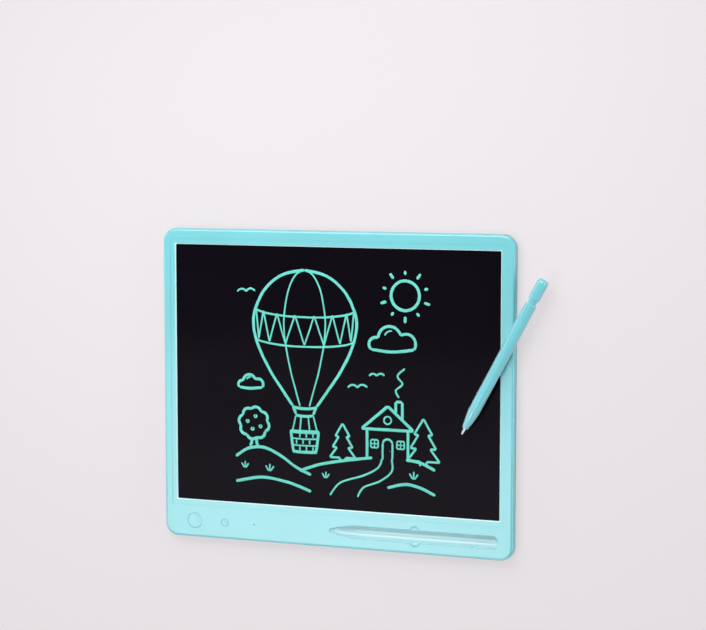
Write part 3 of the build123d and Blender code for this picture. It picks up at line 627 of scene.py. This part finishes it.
def ink_finish():
    """The bright line where the liquid crystal was pressed, slightly uneven like a pencil line."""
    material, tree, shader = new_material("pressed_line_green", Roughness=0.4, Specular_IOR_Level=0.15)
    uneven = spread(tree, noise(tree, scale=420, detail=3), 0, 1)
    broad = spread(tree, noise(tree, scale=70, detail=2), 0, 1)
    share = calculate(tree, "MULTIPLY_ADD", uneven, 0.5, calculate(tree, "MULTIPLY", broad, 0.5))
    mixed = blend_colours(tree, share, scaled(ink_green, 0.88), scaled(ink_green, 1.08))
    tree.links.new(mixed, shader.inputs["Base Color"])
    return material


def clear_finish(name, colour, roughness):
    """Clear film or acrylic with a slight haze."""
    material, tree, shader = new_material(name, Transmission_Weight=0.9, IOR=1.49)
    haze = spread(tree, noise(tree, scale=200, detail=3), roughness, roughness + 0.08)
    tree.links.new(haze, shader.inputs["Roughness"])
    shade = spread(tree, noise(tree, scale=60), 0, 1)
    mixed = blend_colours(tree, shade, scaled(colour, 0.97), colour)
    tree.links.new(mixed, shader.inputs["Base Color"])
    return material


def sheet_finish(name, colour, roughness, fibre):
    """Tape, board or flexible circuit: a matte sheet with short fibres or streaks along X."""
    material, tree, shader = new_material(name)
    streaks = noise(tree, scale=fibre, detail=4, roughness=0.6, stretch=(0.25, 1, 1))
    shade = spread(tree, streaks, 0, 1)
    mixed = blend_colours(tree, shade, scaled(colour, 0.9), scaled(colour, 1.05))
    tree.links.new(mixed, shader.inputs["Base Color"])
    tree.links.new(spread(tree, streaks, roughness - 0.08, roughness + 0.08), shader.inputs["Roughness"])
    raise_surface(tree, shader, streaks, 0.02 * MM)
    return material


def circuit_finish():
    """Green solder mask over copper tracks, with small bright pads."""
    material, tree, shader = new_material("circuit_green_mask", Roughness=0.32)
    inputs = {
        "Vector": place_on_piece(tree),
        "Scale": 150,
        "Mortar Size": 0.035,
        "Mortar Smooth": 0.2,
        "Brick Width": 0.9,
        "Row Height": 0.32,
    }
    tracks = add_node(tree, "ShaderNodeTexBrick", inputs, offset=0.37, squash=1.6, squash_frequency=3)
    mask = blend_colours(tree, tracks.outputs["Fac"], mask_green, track_green)
    inputs = {"Vector": place_on_piece(tree), "Scale": 420, "Randomness": 0.35}
    cells = add_node(tree, "ShaderNodeTexVoronoi", inputs).outputs["Distance"]
    pads = spread(tree, cells, 1, 0, start=0.16, end=0.2)
    mixed = blend_colours(tree, pads, mask, pad_tin)
    tree.links.new(mixed, shader.inputs["Base Color"])
    raise_surface(tree, shader, tracks.outputs["Fac"], 0.03 * MM)
    return material


def metal_finish(name, colour, roughness, stretch, line=700):
    """Metal with fine lines of polishing along one direction, and a few dull spots."""
    material, tree, shader = new_material(name, Metallic=1)
    lines = noise(tree, scale=line, detail=4, roughness=0.65, stretch=stretch)
    spots = noise(tree, scale=260, detail=3)
    base = spread(tree, lines, roughness - 0.06, roughness + 0.08)
    dulled = calculate(tree, "ADD", base, spread(tree, spots, 0, 0.12, start=0.55, end=0.7))
    tree.links.new(dulled, shader.inputs["Roughness"])
    mixed = blend_colours(tree, spread(tree, spots, 0, 1), colour, scaled(colour, 0.88))
    tree.links.new(mixed, shader.inputs["Base Color"])
    raise_surface(tree, shader, lines, 0.004 * MM)
    return material


def turned_metal_finish(name, colour, roughness, centre):
    """Metal with rings round an upright axis, as a coin cell's face has from its pressing."""
    material, tree, shader = new_material(name, Metallic=1)
    shifted = add_node(tree, "ShaderNodeMapping", {"Vector": place_on_piece(tree), "Location": centre})
    split = add_node(tree, "ShaderNodeSeparateXYZ", {"Vector": shifted.outputs["Vector"]})
    inputs = {"X": split.outputs["X"], "Y": split.outputs["Y"]}
    flat = add_node(tree, "ShaderNodeCombineXYZ", inputs).outputs[0]
    radius = add_node(tree, "ShaderNodeVectorMath", {0: flat}, operation="LENGTH").outputs["Value"]
    inputs = {"W": radius, "Scale": 9000, "Detail": 3}
    rings = add_node(tree, "ShaderNodeTexNoise", inputs, noise_dimensions="1D").outputs["Fac"]
    tree.links.new(spread(tree, rings, roughness - 0.08, roughness + 0.1), shader.inputs["Roughness"])
    stain = spread(tree, noise(tree, scale=130, detail=4), 0, 1)
    mixed = blend_colours(tree, stain, colour, scaled(colour, 0.9))
    tree.links.new(mixed, shader.inputs["Base Color"])
    raise_surface(tree, shader, rings, 0.006 * MM)
    return material


def paint(material, *nodes):
    """Gives CAD nodes a material."""
    for node in nodes:
        slots = frame["nodes"][node].data.materials
        slots.clear()
        slots.append(material)


def finish_all_nodes():
    """Every CAD node gets the finish of what it is made of."""
    # Painted light in patches: paler colour over the shade inside the stylus slot, and a painted
    # highlight on the window's chamfer
    patches = ((slot_painted_light_mask, slot_painted_light), (window_highlight_mask, window_painted_highlight))
    case_plastic = moulded_plastic(
        "case_gloss_turquoise",
        turquoise,
        roughness=0.3,
        grain=700,
        grain_depth=0.003 * MM,
        patches=patches,
        Coat_Weight=1,
        Coat_Roughness=0.2,
    )
    rear_plastic = moulded_plastic(
        "rear_grained_turquoise", turquoise, roughness=0.46, grain=2400, grain_depth=0.06 * MM
    )
    key_plastic = moulded_plastic(
        "key_satin_turquoise",
        key_turquoise,
        roughness=0.45,
        grain=700,
        grain_depth=0.003 * MM,
        Coat_Weight=0.6,
        Coat_Roughness=0.3,
    )
    stylus_plastic = moulded_plastic(
        "stylus_gloss_turquoise",
        stylus_turquoise,
        roughness=0.2,
        grain=600,
        grain_depth=0.003 * MM,
        Coat_Weight=1,
        Coat_Roughness=0.1,
        Sheen_Weight=1,
        Sheen_Roughness=0.5,
    )
    nib_plastic = moulded_plastic(
        "nib_white", nib_white, roughness=0.32, grain=2600, grain_depth=0.003 * MM
    )
    black_plastic = moulded_plastic(
        "black_moulding", moulding_black, roughness=0.42, grain=1800, grain_depth=0.02 * MM
    )
    foot_rubber = moulded_plastic(
        "foot_rubber_grey", rubber_grey, roughness=0.72, grain=2600, grain_depth=0.05 * MM
    )
    ceramic = moulded_plastic(
        "capacitor_ceramic", ceramic_tan, roughness=0.5, grain=3000, grain_depth=0.01 * MM
    )
    steel = metal_finish("plain_steel", steel_grey, roughness=0.3, stretch=(1, 6, 1))
    nickel = metal_finish("contact_nickel", nickel_grey, roughness=0.22, stretch=(8, 1, 1))
    low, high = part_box("coin_cell")
    cell_steel = turned_metal_finish("cell_steel", cell_grey, roughness=0.28, centre=-(low + high) / 2)
    clear_acrylic = clear_finish("light_pipe_acrylic", acrylic_clear, roughness=0.06)
    clear_sheet = clear_finish("rear_film_clear", film_clear, roughness=0.05)
    tape = sheet_finish("film_tape_black", tape_black, roughness=0.6, fibre=900)
    backing_sheet = sheet_finish("backing_sheet_white", sheet_white, roughness=0.7, fibre=600)
    flex = sheet_finish("flex_amber", flex_amber, roughness=0.35, fibre=1500)
    paint(case_plastic, "front_bezel")
    paint(rear_plastic, "rear_cover", "battery_door")
    paint(key_plastic, "erase_key", "lock_key")
    paint(stylus_plastic, "stylus_barrel", "stylus_end_cap")
    paint(nib_plastic, "stylus_nib")
    paint(screen_film_finish(), "lcd_front_film", "lcd_crystal_layer")
    paint(clear_sheet, "lcd_rear_film")
    paint(tape, "film_tape_frame")
    paint(backing_sheet, "backing_board")
    paint(flex, "lcd_flex_tail")
    paint(circuit_finish(), "circuit_board")
    paint(ceramic, "board_capacitors")
    paint(clear_acrylic, "status_led", "led_light_pipe")
    paint(black_plastic, "flex_connector", "controller_chip", "erase_switch_body", "erase_switch_plunger")
    paint(black_plastic, "lock_switch_body", "lock_switch_plunger")
    paint(steel, "circuit_board_screws", "erase_switch_dome", "lock_switch_spring")
    paint(steel, "battery_door_screw", "case_screws")
    paint(cell_steel, "coin_cell")
    paint(nickel, "positive_contact", "negative_contact")
    paint(foot_rubber, "rubber_feet")


def add_camera():
    """The camera at the place and with the lens that the picture's perspective gives."""
    data = bpy.data.cameras.new("camera")
    data.sensor_width = sensor_width
    data.lens = sensor_width * focal_pixels / image_width
    data.clip_end = farthest_seen
    camera = bpy.data.objects.new("camera", data)
    camera.location = camera_place
    forward = (camera_aim - camera_place).normalized()
    right = forward.cross(Vector((0, 1, 0))).normalized()
    camera.rotation_euler = Matrix((right, right.cross(forward), -forward)).transposed().to_euler()
    bpy.context.scene.collection.objects.link(camera)
    bpy.context.scene.camera = camera


def add_light(name, place, aim, width, height, glow, fan):
    """A soft rectangular light that faces a point; glow is its own brightness, and fan in degrees."""
    data = bpy.data.lights.new(name, "AREA")
    data.shape = "RECTANGLE"
    data.size = width
    data.size_y = height
    data.spread = math.radians(fan)
    reach = math.tan(data.spread / 2)
    gathered = reach / (reach - data.spread / 2)
    data.energy = glow * math.pi * width * height / gathered
    light = bpy.data.objects.new(name, data)
    light.location = place
    light.rotation_euler = (Vector(aim) - Vector(place)).to_track_quat("-Z", "Y").to_euler()
    bpy.context.scene.collection.objects.link(light)


def seen_directly(tree):
    """A mask that is 1 for what the camera sees, also in gloss and through glass."""
    rays = add_node(tree, "ShaderNodeLightPath").outputs
    seen = calculate(tree, "MAXIMUM", rays["Is Camera Ray"], rays["Is Glossy Ray"])
    return calculate(tree, "MAXIMUM", seen, rays["Is Transmission Ray"])


def add_floor():
    """A plain pale table top that the rubber feet stand on."""
    low = cad_box[0].z
    turns = ((-1, -1), (1, -1), (1, 1), (-1, 1))
    corners = [(across * floor_half, along * floor_half, low) for across, along in turns]
    mesh = bpy.data.meshes.new("floor")
    mesh.from_pydata(corners, [], [(0, 1, 2, 3)])
    material, tree, shader = new_material("floor_pale", Roughness=0.9, Specular_IOR_Level=0.1)
    shader.inputs["Base Color"].default_value = (*scaled(floor_colour, floor_share), 1)
    shader.inputs["Emission Color"].default_value = (*floor_colour, 1)
    glow = calculate(tree, "MULTIPLY", seen_directly(tree), floor_glow)
    tree.links.new(glow, shader.inputs["Emission Strength"])
    mesh.materials.append(material)
    floor = bpy.data.objects.new("floor", mesh)
    bpy.context.scene.collection.objects.link(floor)


def set_world(glow):
    """A world that looks white directly, in gloss and through glass, and lights with a given glow."""
    world = bpy.data.worlds.new("studio")
    world.use_nodes = True
    bpy.context.scene.world = world
    tree = world.node_tree
    background = tree.nodes["Background"]
    background.inputs["Color"].default_value = (1, 1, 1, 1)
    strength = spread(tree, seen_directly(tree), glow, 1, start=0, end=1)
    tree.links.new(strength, background.inputs["Strength"])


finish_all_nodes()
screen_drawing(ink_finish())
door_ridges(bpy.data.materials["rear_grained_turquoise"])
flexing_spring("erase_switch_dome", bpy.data.materials["plain_steel"])
flexing_spring("lock_switch_spring", bpy.data.materials["plain_steel"])
add_camera()
set_world(world_glow)
add_floor()
for light in lights:
    add_light(*light)

bpy.context.scene.view_settings.view_transform = "Standard"
